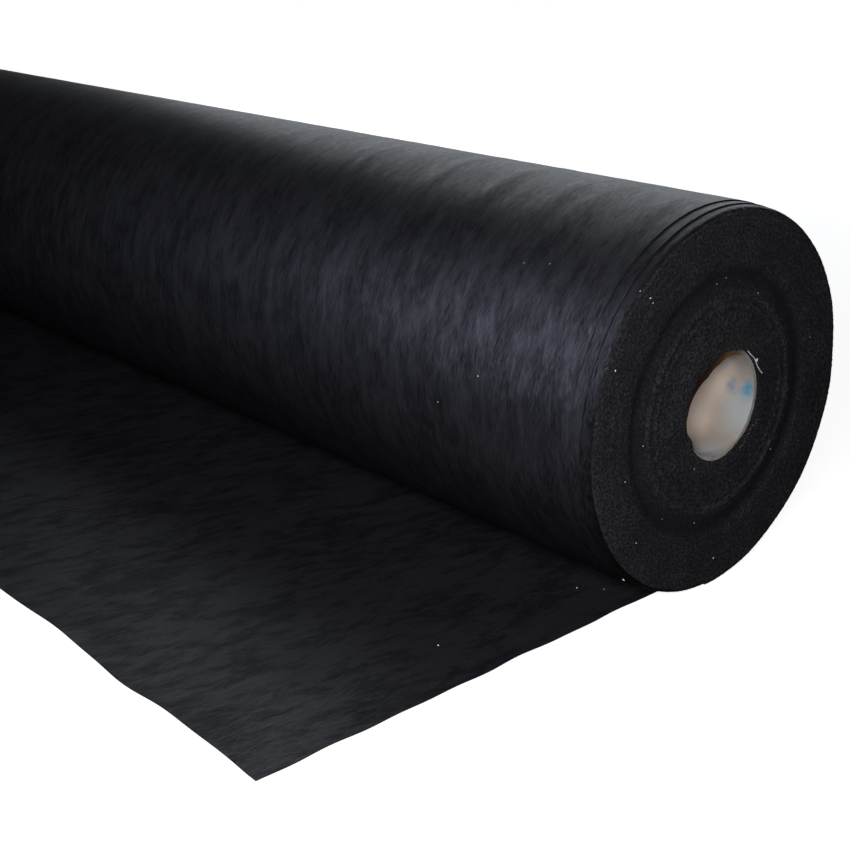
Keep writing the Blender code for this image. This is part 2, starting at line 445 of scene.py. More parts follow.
def core_board():
    """A paper tube with a helical seam inside and out, and rims that are a little frayed."""
    angle = np.linspace(0, FULL_TURN, CORE_STEPS, endpoint=False)[None, :]
    round_about = (np.cos(angle[0]), np.sin(angle[0]))
    near = NEAR_X - RIM_BACK + RIM_RAGGED * waves(NEAR_RIM_SEED, *RIM_WAVES, *round_about)
    far = FAR_X + RIM_BACK + RIM_RAGGED * waves(FAR_RIM_SEED, *RIM_WAVES, *round_about)
    coarse = np.linspace(0, FINE_FROM_SHARE, CORE_ROWS)
    fine = np.linspace(FINE_FROM_SHARE, 1, CORE_FINE_ROWS)[1:]
    x = far + (near - far) * np.concatenate([coarse, fine])[:, None]
    seam_place = np.mod(x / SEAM_PITCH - angle / FULL_TURN, 1.0) * SEAM_PITCH
    seam = bump(seam_place, SEAM_PITCH / 2, SEAM_WIDTH) * SEAM_DEPTH
    relief = BORE_RELIEF * waves(*BORE_WAVES, x, angle * CORE_RADIUS)
    dent = (BORE_RADIUS - table_at(RIM_EDGE, angle)) * smooth((x - near + DENT_LENGTH) / DENT_LENGTH)
    bore = BORE_RADIUS + seam + relief - dent
    outside = CORE_RADIUS - HAIR_GAP - seam
    wall = np.array(RIM_SHARES)[:, None]
    rough = np.random.default_rng(ROUGH_SEED).normal(size=(len(wall), CORE_STEPS)) * RIM_ROUGH
    near_radius = bore[-1] + (outside[-1] - bore[-1]) * wall
    far_radius = bore[0] + (outside[0] - bore[0]) * wall[::-1]
    radius = np.concatenate([bore, near_radius, outside[::-1], far_radius])
    place = np.concatenate([x, near + rough, x[::-1], far + rough[::-1]])
    points = np.stack([place, radius * np.sin(angle), AXIS_Z - radius * np.cos(angle)], -1)
    faces = quads(len(radius), CORE_STEPS, closed=True, flip=True)
    return make_object("core_board", points.reshape(-1, 3), faces, smooth_angle=CORE_SHARP)


# The free end

TAIL_STEP = 4 * MM
SELVEDGE_AT_NIP = -19 * MM
SELVEDGE_AT_END = -13 * MM
# Sway of the selvedges, the near one's growing from the contact line, and of the cut edge
EDGE_SWAY = 1.3 * MM
EDGE_WAVES = (8, 40 * MM, 200 * MM)
NEAR_EDGE_SEED, FAR_EDGE_SEED = 41, 42
EDGE_SWAY_RATE = 4
CUT_SWAY = 1.5 * MM
CUT_MEAN = 0.6
CUT_WAVES = (43, 12, 60 * MM, 420 * MM)
CUT_SHARE = 0.2
# Low waves of the sheet, which start past the nip and are lower beside the selvedges
TAIL_RISE = 1.6 * MM
RISE_WAVES = (44, 26, 60 * MM, 330 * MM)
RISE_STRETCH_SHARE = 0.7
RISE_FROM_SHARE, RISE_OVER_SHARE = 0.06, 0.8
RISE_AT_EDGE_SHARE = 0.35
RISE_EDGE_REACH = 60 * MM
# Curl of the selvedges, which grows from the contact line, and of the cut edge
EDGE_CURL = 1.2 * MM
CURL_REACH = 12 * MM
CURL_RATE = 3
SIDE_CURL_WAVES = (45, 8, 50 * MM, 240 * MM)
END_CURL_REACH = 14 * MM
END_CURL_WAVES = (46, 10, 50 * MM, 240 * MM)


def tail_places():
    """Distances from the contact line of the tail's columns, with the joins between its pieces among them."""
    joins = [0.0] + [FIRST_HINGE + STRIP_LENGTH * (k + 0.5) for k in range(TAIL_STRIPS)]
    joins[-1] = TAIL_END
    columns, cuts = [0.0], [0]
    for low, high in zip(joins[:-1], joins[1:]):
        count = max(2, round((high - low) / TAIL_STEP))
        columns += list(np.linspace(low, high, count + 1)[1:])
        cuts.append(len(columns) - 1)
    return np.array(columns), cuts


def tail_surface(columns):
    """Upper and lower face of the whole free end, as grids from the far edge to the near edge."""
    share = np.linspace(0, 1, round(WIDTH / TAIL_STEP))[:, None]
    run = columns[None, :]
    reach = run / TAIL_END
    near = NEAR_X + SELVEDGE_AT_NIP + (SELVEDGE_AT_END - SELVEDGE_AT_NIP) * reach
    near = near + EDGE_SWAY * waves(NEAR_EDGE_SEED, *EDGE_WAVES, run) * smooth(reach * EDGE_SWAY_RATE)
    far = FAR_X + OUTERMOST_WRAP_SHIFT + EDGE_SWAY * waves(FAR_EDGE_SEED, *EDGE_WAVES, run)
    x = far + (near - far) * share
    at_cut = smooth((reach - 1 + CUT_SHARE) / CUT_SHARE)
    distance = run - CUT_SWAY * (CUT_MEAN + waves(*CUT_WAVES, x)) * at_cut
    height = TAIL_RISE * swell(*RISE_WAVES, x * RISE_STRETCH_SHARE, run)
    height = height * smooth((reach - RISE_FROM_SHARE) / RISE_OVER_SHARE)
    from_edge = np.minimum(x - far, near - x)
    inside = smooth(from_edge / RISE_EDGE_REACH)
    height = height * (RISE_AT_EDGE_SHARE + (1 - RISE_AT_EDGE_SHARE) * inside)
    side_curl = (1 - smooth(from_edge / CURL_REACH)) * swell(*SIDE_CURL_WAVES, run)
    height = height + EDGE_CURL * side_curl * smooth(reach * CURL_RATE)
    end_curl = (1 - smooth((TAIL_END - run) / END_CURL_REACH)) * swell(*END_CURL_WAVES, x)
    height = height + EDGE_CURL * end_curl
    lower = np.stack([x, -distance, height], -1)
    upper = np.stack([x, -distance, height + SHEET_THICKNESS], -1)
    web = np.stack(np.broadcast_arrays(-run, x), -1)
    return upper, lower, web


def surface_normals(grid):
    """A unit normal for each point of a grid, from its neighbours on the whole sheet."""
    down = np.gradient(grid, axis=0)
    along = np.gradient(grid, axis=1)
    normal = np.cross(along, down)
    normal /= np.linalg.norm(normal, axis=-1, keepdims=True)
    return np.where(normal[..., 2:] < 0, -normal, normal)


def bend_over_hinge(obj):
    """Bakes the object's place into its points."""
    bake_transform(obj)


def free_end(material):
    """The free end in pieces that meet in the middle of each hinged strip."""
    columns, cuts = tail_places()
    upper, lower, web = tail_surface(columns)
    normals = surface_normals(upper)
    for k, (low, high) in enumerate(zip(cuts[:-1], cuts[1:])):
        part = slice(low, high + 1)
        piece = sheet_object(f"fleece_free_end_{k + 1}", upper[:, part], lower[:, part], web[:, part])
        up = normals[:, part].reshape(-1, 3)
        piece.data.normals_split_custom_set_from_vertices(np.concatenate([up, -up]).tolist())
        bend_over_hinge(piece)
        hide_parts(f"tail_strip_{k + 1}")
        piece.data.materials.append(material)


# Materials


def new_material(name):
    """A material, its node tree and its shader."""
    material = bpy.data.materials.new(name)
    material.use_nodes = True
    tree = material.node_tree
    return material, tree, tree.nodes["Principled BSDF"]


def fill(tree, node, inputs):
    """Sets a node's inputs from numbers or links them from sockets."""
    for key, value in inputs.items():
        if isinstance(value, bpy.types.NodeSocket):
            tree.links.new(value, node.inputs[key])
        else:
            node.inputs[key].default_value = value


def add(tree, kind, inputs=None, **settings):
    """A node with its settings and inputs."""
    node = tree.nodes.new("ShaderNode" + kind)
    for name, value in settings.items():
        setattr(node, name, value)
    fill(tree, node, inputs or {})
    return node


def solid(shade):
    """A colour with full alpha, from a colour or from the one number of a grey."""
    return (*shade, 1.0) if isinstance(shade, tuple) else (shade, shade, shade, 1.0)


def ramp(tree, factor, stops):
    """Colours or greys between stops, each of them a place and a shade."""
    node = add(tree, "ValToRGB", {"Fac": factor})
    elements = node.color_ramp.elements
    while len(elements) < len(stops):
        elements.new(0.5)
    for element, (place, shade) in zip(elements, stops):
        element.position = place
        element.color = solid(shade)
    return node.outputs["Color"]


def math_node(tree, operation, a, b=0.0, clamp=False):
    return add(tree, "Math", {0: a, 1: b}, operation=operation, use_clamp=clamp).outputs[0]


def vector_node(tree, operation, a, b=(0, 0, 0)):
    return add(tree, "VectorMath", {0: a, 1: b}, operation=operation).outputs


def weighted(tree, *parts):
    """The sum of some values, each times its weight."""
    total, *others = [math_node(tree, "MULTIPLY", value, weight) for value, weight in parts]
    for other in others:
        total = math_node(tree, "ADD", total, other)
    return total


def fade(tree, value, start, end, low=0.0, high=1.0):
    """A smooth step from low, where a value is at its start, to high, where it is at its end."""
    inputs = {"Value": value, "From Min": start, "From Max": end, "To Min": low, "To Max": high}
    return add(tree, "MapRange", inputs, interpolation_type="SMOOTHSTEP").outputs[0]


def noise(tree, where, scale, detail, rough=0.5, warp=0.0, dimensions="3D"):
    """Noise over places in metres."""
    inputs = {"Vector": where, "Scale": scale, "Detail": detail, "Roughness": rough, "Distortion": warp}
    return add(tree, "TexNoise", inputs, noise_dimensions=dimensions).outputs["Fac"]


def mixed(tree, factor, a, b, blend_type="MIX"):
    return add(tree, "Mix", {0: factor, 6: a, 7: b}, data_type="RGBA", blend_type=blend_type).outputs[2]


def relief_node(tree, height, strength, depth):
    """Shades a surface by a relief of some depth."""
    return add(tree, "Bump", {"Height": height, "Strength": strength, "Distance": depth})


def set_look(tree, shader, colour, roughness, specular, relief):
    """Gives a shader its colour, roughness, shine and relief."""
    look = {"Base Color": colour, "Roughness": roughness, "Specular IOR Level": specular}
    fill(tree, shader, look | {"Normal": relief.outputs[0]})


def place_and_offset(tree, scale=1.0):
    """Each point's place, and its offset from the roll's axis times a scale."""
    where = add(tree, "TexCoord").outputs["Object"]
    moved = vector_node(tree, "ADD", where, (0, 0, -AXIS_Z))[0]
    return where, vector_node(tree, "MULTIPLY", moved, (0, scale, scale))[0]


# The fleece's colours, from thin spots to its fibres
FLEECE_DARK = (0.0012, 0.0012, 0.0014)
FLEECE_MID = (0.0028, 0.0028, 0.0034)
FLEECE_PALE = (0.012, 0.0125, 0.015)
# Lays of its fibres, grain, clouds and blotches: degrees, scales along and across, detail and seed
FIBRE_LAYS = [(9, 42.0, 480.0, 2.0, 3.1), (-7, 48.0, 520.0, 2.0, 7.7), (-24, 90.0, 560.0, 2.0, 21.9)]
GRAIN_LAY = (4, 150.0, 720.0, 2.0, 12.3)
CLOUD_LAY = (6, 12.0, 26.0, 3.0, 31.0)
BLOTCH_LAY = (-8, 34.0, 105.0, 3.0, 44.0)
LAY_ROUGHNESS, LAY_DISTORTION = 0.55, 0.25
# How these turn into greys, and their shares where they are summed
FIBRE_STOPS = [(0.50, 0.0), (0.62, 0.4), (0.76, 1.0)]
GRAIN_STOPS = [(0.34, 0.0), (0.66, 1.0)]
THICK_STOPS = [(0.40, 0.0), (0.60, 1.0)]
FIBRE_SHARE, GRAIN_SHARE = 0.6, 0.4
CLOUD_SHARE, BLOTCH_SHARE = 0.45, 0.55
TINT_STOPS = [(0.0, 0.20), (0.4, 0.58), (0.8, 1.0)]
ROUGH_BETWEEN_FIBRES, ROUGH_ON_FIBRES = 0.50, 0.38
# Shine of the sheet as it lies: its level, and how much of it is even or follows clouds, fibres and grain
WOUND_SHINE = (0.98, 0.03, 0.44, 0.18, 0.13)
LAID_SHINE = (1.0, 0.12, 0.72, 0.20, 0.12)
TURNED_SHINE = (0.7, 0.0, 0.42, 0.24, 0.20)
# The grid of bond points, and the relief
BOND_SCALE, BOND_JITTER = 720.0, 0.25
BOND_STOPS = [(0.12, 0.0), (0.30, 1.0)]
BOND_RELIEF_SHARE, THICK_RELIEF_SHARE = 0.12, 0.6
FLEECE_RELIEF = 0.07 * MM
# Painted shade and light by the contact line, by turns of the sheet, as shares of its colour and shine:
# the wrap is painted dark down its lower front and black at the contact line, the free end painted brighter
# beside it and darker towards its cut end
WRAP_PAINTED_NIP_SHADE = [(0.76, 1.0), (0.82, 0.62), (0.855, 0.42), (0.88, 0.24), (0.895, 0.06), (0.905, 0.0)]
TAIL_PAINTED_LIGHT_AND_SHADE = [(0.56, 0.80), (0.68, 0.86), (0.84, 1.0), (0.93, 1.1), (0.955, 1.4), (0.968, 2.0), (0.995, 2.0)]


def streaks(tree, sheet, direction, along, across, detail, seed):
    """Noise drawn out along one direction of the sheet, like a lay of fibres. The scales are per metre."""
    turn = {"Vector": sheet, "Rotation": (0, 0, math.radians(direction))}
    turned = add(tree, "Mapping", turn).outputs[0]
    stretch = {"Vector": turned, "Scale": (along, across, 1), "Location": (seed, seed * 2, 0)}
    stretched = add(tree, "Mapping", stretch).outputs[0]
    return noise(tree, stretched, 1.0, detail, LAY_ROUGHNESS, LAY_DISTORTION, "2D")


def bond_points(tree, sheet):
    """Low spots on a fine grid, where the fibres are bonded."""
    grid = {"Vector": sheet, "Scale": BOND_SCALE, "Randomness": BOND_JITTER}
    cells = add(tree, "TexVoronoi", grid, voronoi_dimensions="2D", feature="F1")
    return ramp(tree, cells.outputs["Distance"], BOND_STOPS)


def fleece_material(name, painted_light_and_shade, shine_parts, stepped=False):
    """Spunbond: fibres that lie mostly along the sheet, in clouds, with a fine grid of bond points.

    A stepped surface, where only narrow steps of the wraps show, is shaded as if it were round.
    """
    material, tree, shader = new_material(name)
    specular, even, cloudy, fibrous, grainy = shine_parts
    web = add(tree, "UVMap", uv_map="web").outputs[0]
    first, second, third = (streaks(tree, web, *lay) for lay in FIBRE_LAYS)
    fibres = math_node(tree, "MAXIMUM", math_node(tree, "MAXIMUM", first, second), third)
    fibre = ramp(tree, fibres, FIBRE_STOPS)
    grain = ramp(tree, streaks(tree, web, *GRAIN_LAY), GRAIN_STOPS)
    fine = weighted(tree, (fibre, FIBRE_SHARE), (grain, GRAIN_SHARE))
    clouds, blotches = streaks(tree, web, *CLOUD_LAY), streaks(tree, web, *BLOTCH_LAY)
    thick = ramp(tree, weighted(tree, (clouds, CLOUD_SHARE), (blotches, BLOTCH_SHARE)), THICK_STOPS)
    along = add(tree, "SeparateXYZ", {0: web}).outputs[0]
    turn = math_node(tree, "FRACT", math_node(tree, "DIVIDE", along, FULL_TURN * ROLL_RADIUS))
    # Painted shade and light by the contact line, multiplied into the colour and the shine
    painted_shading = ramp(tree, turn, painted_light_and_shade)
    dark = mixed(tree, thick, solid(FLEECE_DARK), solid(FLEECE_MID))
    colour = mixed(tree, fine, dark, solid(FLEECE_PALE))
    shine = weighted(tree, (thick, cloudy), (fibre, fibrous), (grain, grainy))
    tint = ramp(tree, math_node(tree, "ADD", shine, even), TINT_STOPS)
    between = {"Value": fine, "To Min": ROUGH_BETWEEN_FIBRES, "To Max": ROUGH_ON_FIBRES}
    low_spots = (bond_points(tree, web), BOND_RELIEF_SHARE)
    height = math_node(tree, "ADD", fine, weighted(tree, low_spots, (thick, THICK_RELIEF_SHARE)))
    relief = relief_node(tree, height, 1.0, FLEECE_RELIEF)
    if stepped:
        fill(tree, relief, {"Normal": vector_node(tree, "NORMALIZE", place_and_offset(tree)[1])[0]})
    # Here the painted shade and light darken or brighten the colour, and below the shine
    colour = mixed(tree, 1.0, colour, painted_shading, "MULTIPLY")
    set_look(tree, shader, colour, add(tree, "MapRange", between).outputs[0], specular, relief)
    fill(tree, shader, {"Specular Tint": mixed(tree, 1.0, tint, painted_shading, "MULTIPLY")})
    return material


# The wraps' cut edges: how pale they are by radius, as a share of the roll's, paler on the ridges and darkest
# in the recessed ring, which is painted shade, and their two colours
EDGE_PALENESS_WITH_PAINTED_SHADE = [
    (0.30, 0.78), (0.48, 0.64), (0.503, 0.84), (0.52, 0.54), (0.556, 0.95), (0.58, 0.48), (0.615, 0.30),
    (0.665, 0.14), (0.70, 0.58), (1.0, 0.68),
]
EDGE_DARK = (0.0045, 0.0045, 0.0049)
EDGE_PALE = (0.048, 0.049, 0.052)
# Their noise: scale, detail and roughness
EDGE_GRAIN = (520.0, 4.0, 0.75)
EDGE_PATCHES = (38.0, 4.0, 0.6)
EDGE_GRAIN_STOPS = [(0.42, 0.0), (0.56, 0.4), (0.70, 1.0)]
EDGE_RINGS, EDGE_RING_DETAIL = 150.0, 2.0
EDGE_PATCH_GAIN = 2.0
EDGE_RING_LIFT = 0.5
EDGE_ROUGHNESS, EDGE_SPECULAR = 0.85, 0.10
EDGE_RELIEF = (0.5, 0.4 * MM)


def edge_material():
    """The wraps' cut edges: speckled fibre ends, paler in patches, rings and bands, with painted shade in the
    recessed ring.
    """
    material, tree, shader = new_material("fleece_edges")
    where, offset = place_and_offset(tree, 1 / ROLL_RADIUS)
    share = vector_node(tree, "LENGTH", offset)["Value"]
    speckle = noise(tree, where, *EDGE_GRAIN)
    patches = noise(tree, where, *EDGE_PATCHES)
    ring = {"W": math_node(tree, "MULTIPLY", share, EDGE_RINGS), "Scale": 1.0, "Detail": EDGE_RING_DETAIL}
    rings = add(tree, "TexNoise", ring, noise_dimensions="1D").outputs["Fac"]
    # Paleness by radius, with painted shade in the recessed ring, times the speckle
    amount = math_node(tree, "MULTIPLY", ramp(tree, speckle, EDGE_GRAIN_STOPS), ramp(tree, share, EDGE_PALENESS_WITH_PAINTED_SHADE))
    amount = math_node(tree, "MULTIPLY", amount, math_node(tree, "MULTIPLY", patches, EDGE_PATCH_GAIN))
    ring_gain = math_node(tree, "ADD", rings, EDGE_RING_LIFT)
    amount = math_node(tree, "MULTIPLY", amount, ring_gain, clamp=True)
    colour = mixed(tree, amount, solid(EDGE_DARK), solid(EDGE_PALE))
    relief = relief_node(tree, speckle, *EDGE_RELIEF)
    set_look(tree, shader, colour, EDGE_ROUGHNESS, EDGE_SPECULAR, relief)
    return material


BOARD_BEIGE = (0.255, 0.205, 0.155)
BOARD_GREY = (0.255, 0.235, 0.20)
# A paler board colour deep in the bore, painted light
BOARD_PAINTED_DEEP_LIGHT = (0.74, 0.60, 0.46)
RIM_PAINTED_LIGHT = (0.215, 0.20, 0.18)
RIM_BROWN = (0.075, 0.034, 0.014)
RIM_PAINTED_SHADE = (0.008, 0.003, 0.001)
# Patches of painted light that make the board in the mouth paler or greyer: pixel, how far each reaches, how
# strong it is and its colour
PAINTED_LIGHT_PATCHES = [
    (744, 410, 30 * MM, 1.2, (0.275, 0.29, 0.275)),
    (708, 450, 19 * MM, 1.1, (0.27, 0.28, 0.26)),
    (703, 457, 14 * MM, 1.5, (0.46, 0.49, 0.48)),
    (712, 372, 30 * MM, 0.9, (0.50, 0.42, 0.335)),
    (725, 362, 16 * MM, 0.7, (0.40, 0.36, 0.32)),
    (690, 421, 26 * MM, 0.7, (0.48, 0.405, 0.33)),
]
# Stains of ink, given in the same way
STAINS = [
    (733, 386, 9 * MM, 0.9, (0.15, 0.19, 0.215)),
    (748, 392, 10 * MM, 0.9, (0.15, 0.22, 0.27)),
    (750, 384, 5 * MM, 0.9, (0.06, 0.20, 0.27)),
    (748, 389, 5.5 * MM, 1.7, (0.04, 0.19, 0.28)),
]
# The board's noise: scale, detail, roughness and distortion
BOARD_FLECKS = (260.0, 5.0, 0.65)
BOARD_CLOUDS = (28.0, 3.0, 0.5)
INK_SMEAR = (170.0, 3.0, 0.5, 0.4)
FLECKS_SHARE, CLOUDS_SHARE = 0.4, 0.6
BOARD_STOPS = [(0.36, BOARD_BEIGE), (0.66, BOARD_GREY)]
BLOT_STOPS = [(0.30, 0.6), (0.60, 1.0)]
INK_FRAYED_SHARE = 0.9
# How far down the bore its paler colour, which is painted light, starts and is full
PAINTED_LIGHT_FROM, PAINTED_LIGHT_TO = 24 * MM, 86 * MM
# The rim: how squarely it faces along the core, and its colours from the lower front to the upper back
RIM_FACING_STOPS = [(0.35, 0.0), (0.7, 1.0)]
RIM_SIDE_FROM, RIM_SIDE_TO = -5 * MM, 52 * MM
# Across the rim its dark brown turns paler as painted light on its lit side and near black as painted shade
# where the lip overhangs it
RIM_LIGHT_AND_SHADE_STOPS = [(0.0, RIM_PAINTED_LIGHT), (0.45, RIM_BROWN), (0.75, RIM_BROWN), (1.0, RIM_PAINTED_SHADE)]
BOARD_ROUGHNESS, BOARD_SPECULAR = 0.9, 0.1
BOARD_RELIEF = (0.3, 0.3 * MM)


def board_material():
    """Grey-brown paper board with flecks, painted light deep in the bore and in patches, a brown rim with
    painted light and shade, and stains of blue ink in the mouth.
    """
    material, tree, shader = new_material("paper_board")
    where = add(tree, "TexCoord").outputs["Object"]
    x, y, z = add(tree, "SeparateXYZ", {0: where}).outputs
    flecks = noise(tree, where, *BOARD_FLECKS)
    tone = weighted(tree, (flecks, FLECKS_SHARE), (noise(tree, where, *BOARD_CLOUDS), CLOUDS_SHARE))
    colour = ramp(tree, tone, BOARD_STOPS)
    # Painted light: the board turns paler deeper down the bore
    colour = mixed(tree, fade(tree, x, NEAR_X - PAINTED_LIGHT_FROM, NEAR_X - PAINTED_LIGHT_TO), colour, solid(BOARD_PAINTED_DEEP_LIGHT))
    # Painted light in patches of the mouth
    for px, py, reach, strength, shade in PAINTED_LIGHT_PATCHES:
        away = vector_node(tree, "DISTANCE", where, pixel_on_cylinder(px, py, BORE_RADIUS, 1))["Value"]
        colour = mixed(tree, fade(tree, away, reach, 0.0, high=strength), colour, solid(shade))
    smear = noise(tree, where, *INK_SMEAR)
    blots = ramp(tree, smear, BLOT_STOPS)
    frayed = math_node(tree, "SUBTRACT", 0.5, smear)
    for px, py, reach, strength, stain in STAINS:
        away = vector_node(tree, "DISTANCE", where, pixel_on_cylinder(px, py, BORE_RADIUS, 1))["Value"]
        away = math_node(tree, "ADD", away, math_node(tree, "MULTIPLY", frayed, reach * INK_FRAYED_SHARE))
        near = math_node(tree, "SUBTRACT", 1.0, math_node(tree, "DIVIDE", away, reach), clamp=True)
        ink = math_node(tree, "MULTIPLY", math_node(tree, "MULTIPLY", near, blots), strength, clamp=True)
        colour = mixed(tree, ink, colour, solid(stain))
    normal = add(tree, "NewGeometry").outputs["Normal"]
    facing = math_node(tree, "ABSOLUTE", add(tree, "SeparateXYZ", {0: normal}).outputs[0])
    # Painted light and shade on the rim's faces
    side = fade(tree, math_node(tree, "SUBTRACT", z, y), AXIS_Z + RIM_SIDE_FROM, AXIS_Z + RIM_SIDE_TO)
    colour = mixed(tree, ramp(tree, facing, RIM_FACING_STOPS), colour, ramp(tree, side, RIM_LIGHT_AND_SHADE_STOPS))
    relief = relief_node(tree, flecks, *BOARD_RELIEF)
    set_look(tree, shader, colour, BOARD_ROUGHNESS, BOARD_SPECULAR, relief)
    return material


PLAIN_DETAIL = 3.0
PLAIN_FROM, PLAIN_TO = 0.35, 0.65


def plain_material(name, colour, roughness, scale, spread):
    """A small piece's material: one colour, clouded a little."""
    material, tree, shader = new_material(name)
    where = add(tree, "TexCoord").outputs["Object"]
    darker = tuple(channel * (1 - spread) for channel in colour)
    clouded = ramp(tree, noise(tree, where, scale, PLAIN_DETAIL), [(PLAIN_FROM, darker), (PLAIN_TO, colour)])
    fill(tree, shader, {"Base Color": clouded, "Roughness": roughness})
    return material


# Lint, chips and threads

# Pixels of the specks that show on the end face, the free end and the wrap, and their sizes in millimetres
FACE_SPECKS = [
    (650, 298, 1.2), (653, 303, 0.8), (640, 291, 0.8), (615, 371, 1.1), (717, 284, 0.6),
    (726, 278, 0.7), (739, 281, 0.6), (758, 293, 0.7), (810, 337, 0.6), (825, 399, 0.8),
    (770, 449, 0.9), (621, 431, 0.8), (643, 446, 0.8), (625, 482, 0.8), (694, 469, 1.0),
    (730, 480, 0.6), (662, 519, 0.6), (694, 523, 0.7), (713, 558, 0.9), (670, 560, 0.6),
    (636, 543, 0.7), (682, 591, 0.8),
]
TAIL_SPECKS = [(577, 587, 1.5), (438, 645, 1.5), (604, 588, 1.0), (25, 320, 1.5)]
WRAP_SPECKS = [(624, 579, 2.4), (478, 376, 0.9), (550, 264, 0.7), (524, 263, 0.7), (438, 402, 0.7)]
# The specks are made this much larger than they show, so that they render as bright
SPECK_SPREAD = 1.7
# Specks too small to place, their sizes, and the shares of the face's area between which they lie
LOOSE_SPECKS = 60
LOOSE_SIZES = (0.3, 0.6)
LOOSE_SHARES = (0.12, 0.93)
LOOSE_DEPTH = 0.4 * MM
LOOSE_SEED = 8
TAIL_SPECK_HEIGHT = 1.5 * MM
# A flake: its number of corners, and shares of its size
FLAKE_CORNERS = (5, 7)
FLAKE_REACH_SHARES = (0.5, 1.0)
FLAKE_NARROW_SHARE = 0.7
FLAKE_BENT_SHARE = 0.08
FLAKE_TOP_SHARE, FLAKE_BOTTOM_SHARE = 0.16, 0.10
FLAKE_SEAT_SHARE = 0.14


def flake(rng, size):
    """A crumpled chip: a flat star of points round the origin, its upper and lower side."""
    corners = rng.randint(*FLAKE_CORNERS)
    rim = []
    for k in range(corners):
        a = FULL_TURN * k / corners
        reach = size / 2 * rng.uniform(*FLAKE_REACH_SHARES)
        bent = rng.uniform(-FLAKE_BENT_SHARE, FLAKE_BENT_SHARE) * size
        rim.append(Vector((math.cos(a) * reach, math.sin(a) * reach * FLAKE_NARROW_SHARE, bent)))
    points = rim + [Vector((0, 0, size * FLAKE_TOP_SHARE)), Vector((0, 0, -size * FLAKE_BOTTOM_SHARE))]
    faces = []
    for k in range(corners):
        after = (k + 1) % corners
        faces += [[k, after, corners], [after, k, corners + 1]]
    return points, faces


def flakes(name, places, material, body, seed):
    """Flakes that lie at (point, normal, size). Without a body, they are left unattached."""
    rng = random.Random(seed)
    points, faces = [], []
    for place, normal, size in places:
        turn = normal.to_track_quat("Z", "Y").to_matrix() @ Matrix.Rotation(rng.uniform(0, FULL_TURN), 3, "Z")
        shape, sides = flake(rng, size)
        faces += [[k + len(points) for k in side] for side in sides]
        points += [place + normal * size * FLAKE_SEAT_SHARE + turn @ p for p in shape]
    obj = make_object(name, np.array([list(p) for p in points]), faces, smooth_angle=FLAKE_SHARP)
    obj.data.materials.append(material)
    if body is not None:
        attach(obj, body)
    return obj


def threads(name, runs, radius, material, body):
    """Loose fibres as thin round curves in one object."""
    curve = bpy.data.curves.new(name, "CURVE")
    curve.dimensions = "3D"
    curve.bevel_depth = radius
    curve.bevel_resolution = 2
    curve.use_fill_caps = True
    for points in runs:
        spline = curve.splines.new("NURBS")
        spline.points.add(len(points) - 1)
        for target, point in zip(spline.points, points):
            target.co = (*point, 1.0)
        spline.use_endpoint_u = True
        spline.order_u = 4
    curve.materials.append(material)
    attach(put(name, curve), body)


# The camera, from the photograph's perspective

IMAGE_SIZE = 850
FOCAL_PIXELS = 1387.7
SENSOR = 36.0
CAMERA_REACH = 60.0
CAMERA_PLACE = Vector((NEAR_X + 3.825 * ROLL_RADIUS, -5.444 * ROLL_RADIUS, 3.207 * ROLL_RADIUS))
CAMERA_YAW = math.radians(47.83)
CAMERA_PITCH = math.radians(19.77)
CAMERA_ROLL = math.radians(0.72)


def camera_axes():
    """The camera's right, up and view direction."""
    cos_yaw, sin_yaw = math.cos(CAMERA_YAW), math.sin(CAMERA_YAW)
    cos_pitch, sin_pitch = math.cos(CAMERA_PITCH), math.sin(CAMERA_PITCH)
    view = Vector((-sin_yaw * cos_pitch, cos_yaw * cos_pitch, -sin_pitch))
    right = Vector((cos_yaw, sin_yaw, 0.0))
    up = right.cross(view)
    cos_roll, sin_roll = math.cos(CAMERA_ROLL), math.sin(CAMERA_ROLL)
    return cos_roll * right + sin_roll * up, cos_roll * up - sin_roll * right, view


def make_camera():
    right, up, view = camera_axes()
    data = bpy.data.cameras.new("camera")
    data.sensor_width = SENSOR
    data.lens = FOCAL_PIXELS / IMAGE_SIZE * SENSOR
    data.clip_end = CAMERA_REACH
    camera = put("camera", data)
    turn = Matrix((right, up, -view)).transposed()
    camera.matrix_world = Matrix.Translation(CAMERA_PLACE) @ turn.to_4x4()
    bpy.context.scene.camera = camera


def line_of_sight(px, py):
    """The direction from the camera through a pixel of the photograph."""
    right, up, view = camera_axes()
    middle = IMAGE_SIZE / 2
    return view + right * ((px - middle) / FOCAL_PIXELS) - up * ((py - middle) / FOCAL_PIXELS)


def pixel_on_plane(px, py, axis, value):
    """Where the line of sight through a pixel meets the plane on which a coordinate has a value."""
    direction = line_of_sight(px, py)
    return CAMERA_PLACE + direction * ((value - CAMERA_PLACE[axis]) / direction[axis])


def pixel_on_cylinder(px, py, radius, side):
    """Where the line of sight through a pixel enters (side -1) or leaves (1) a cylinder round the axis."""
    direction = line_of_sight(px, py)
    across, step = Vector((CAMERA_PLACE.y, CAMERA_PLACE.z - AXIS_Z)), Vector((direction.y, direction.z))
    a, b = step.dot(step), across.dot(step)
    c = across.dot(across) - radius**2
    return CAMERA_PLACE + direction * ((-b + side * math.sqrt(b * b - a * c)) / a)


# Light, floor and background

LIGHT_TARGET = (0.6, 0, AXIS_Z)
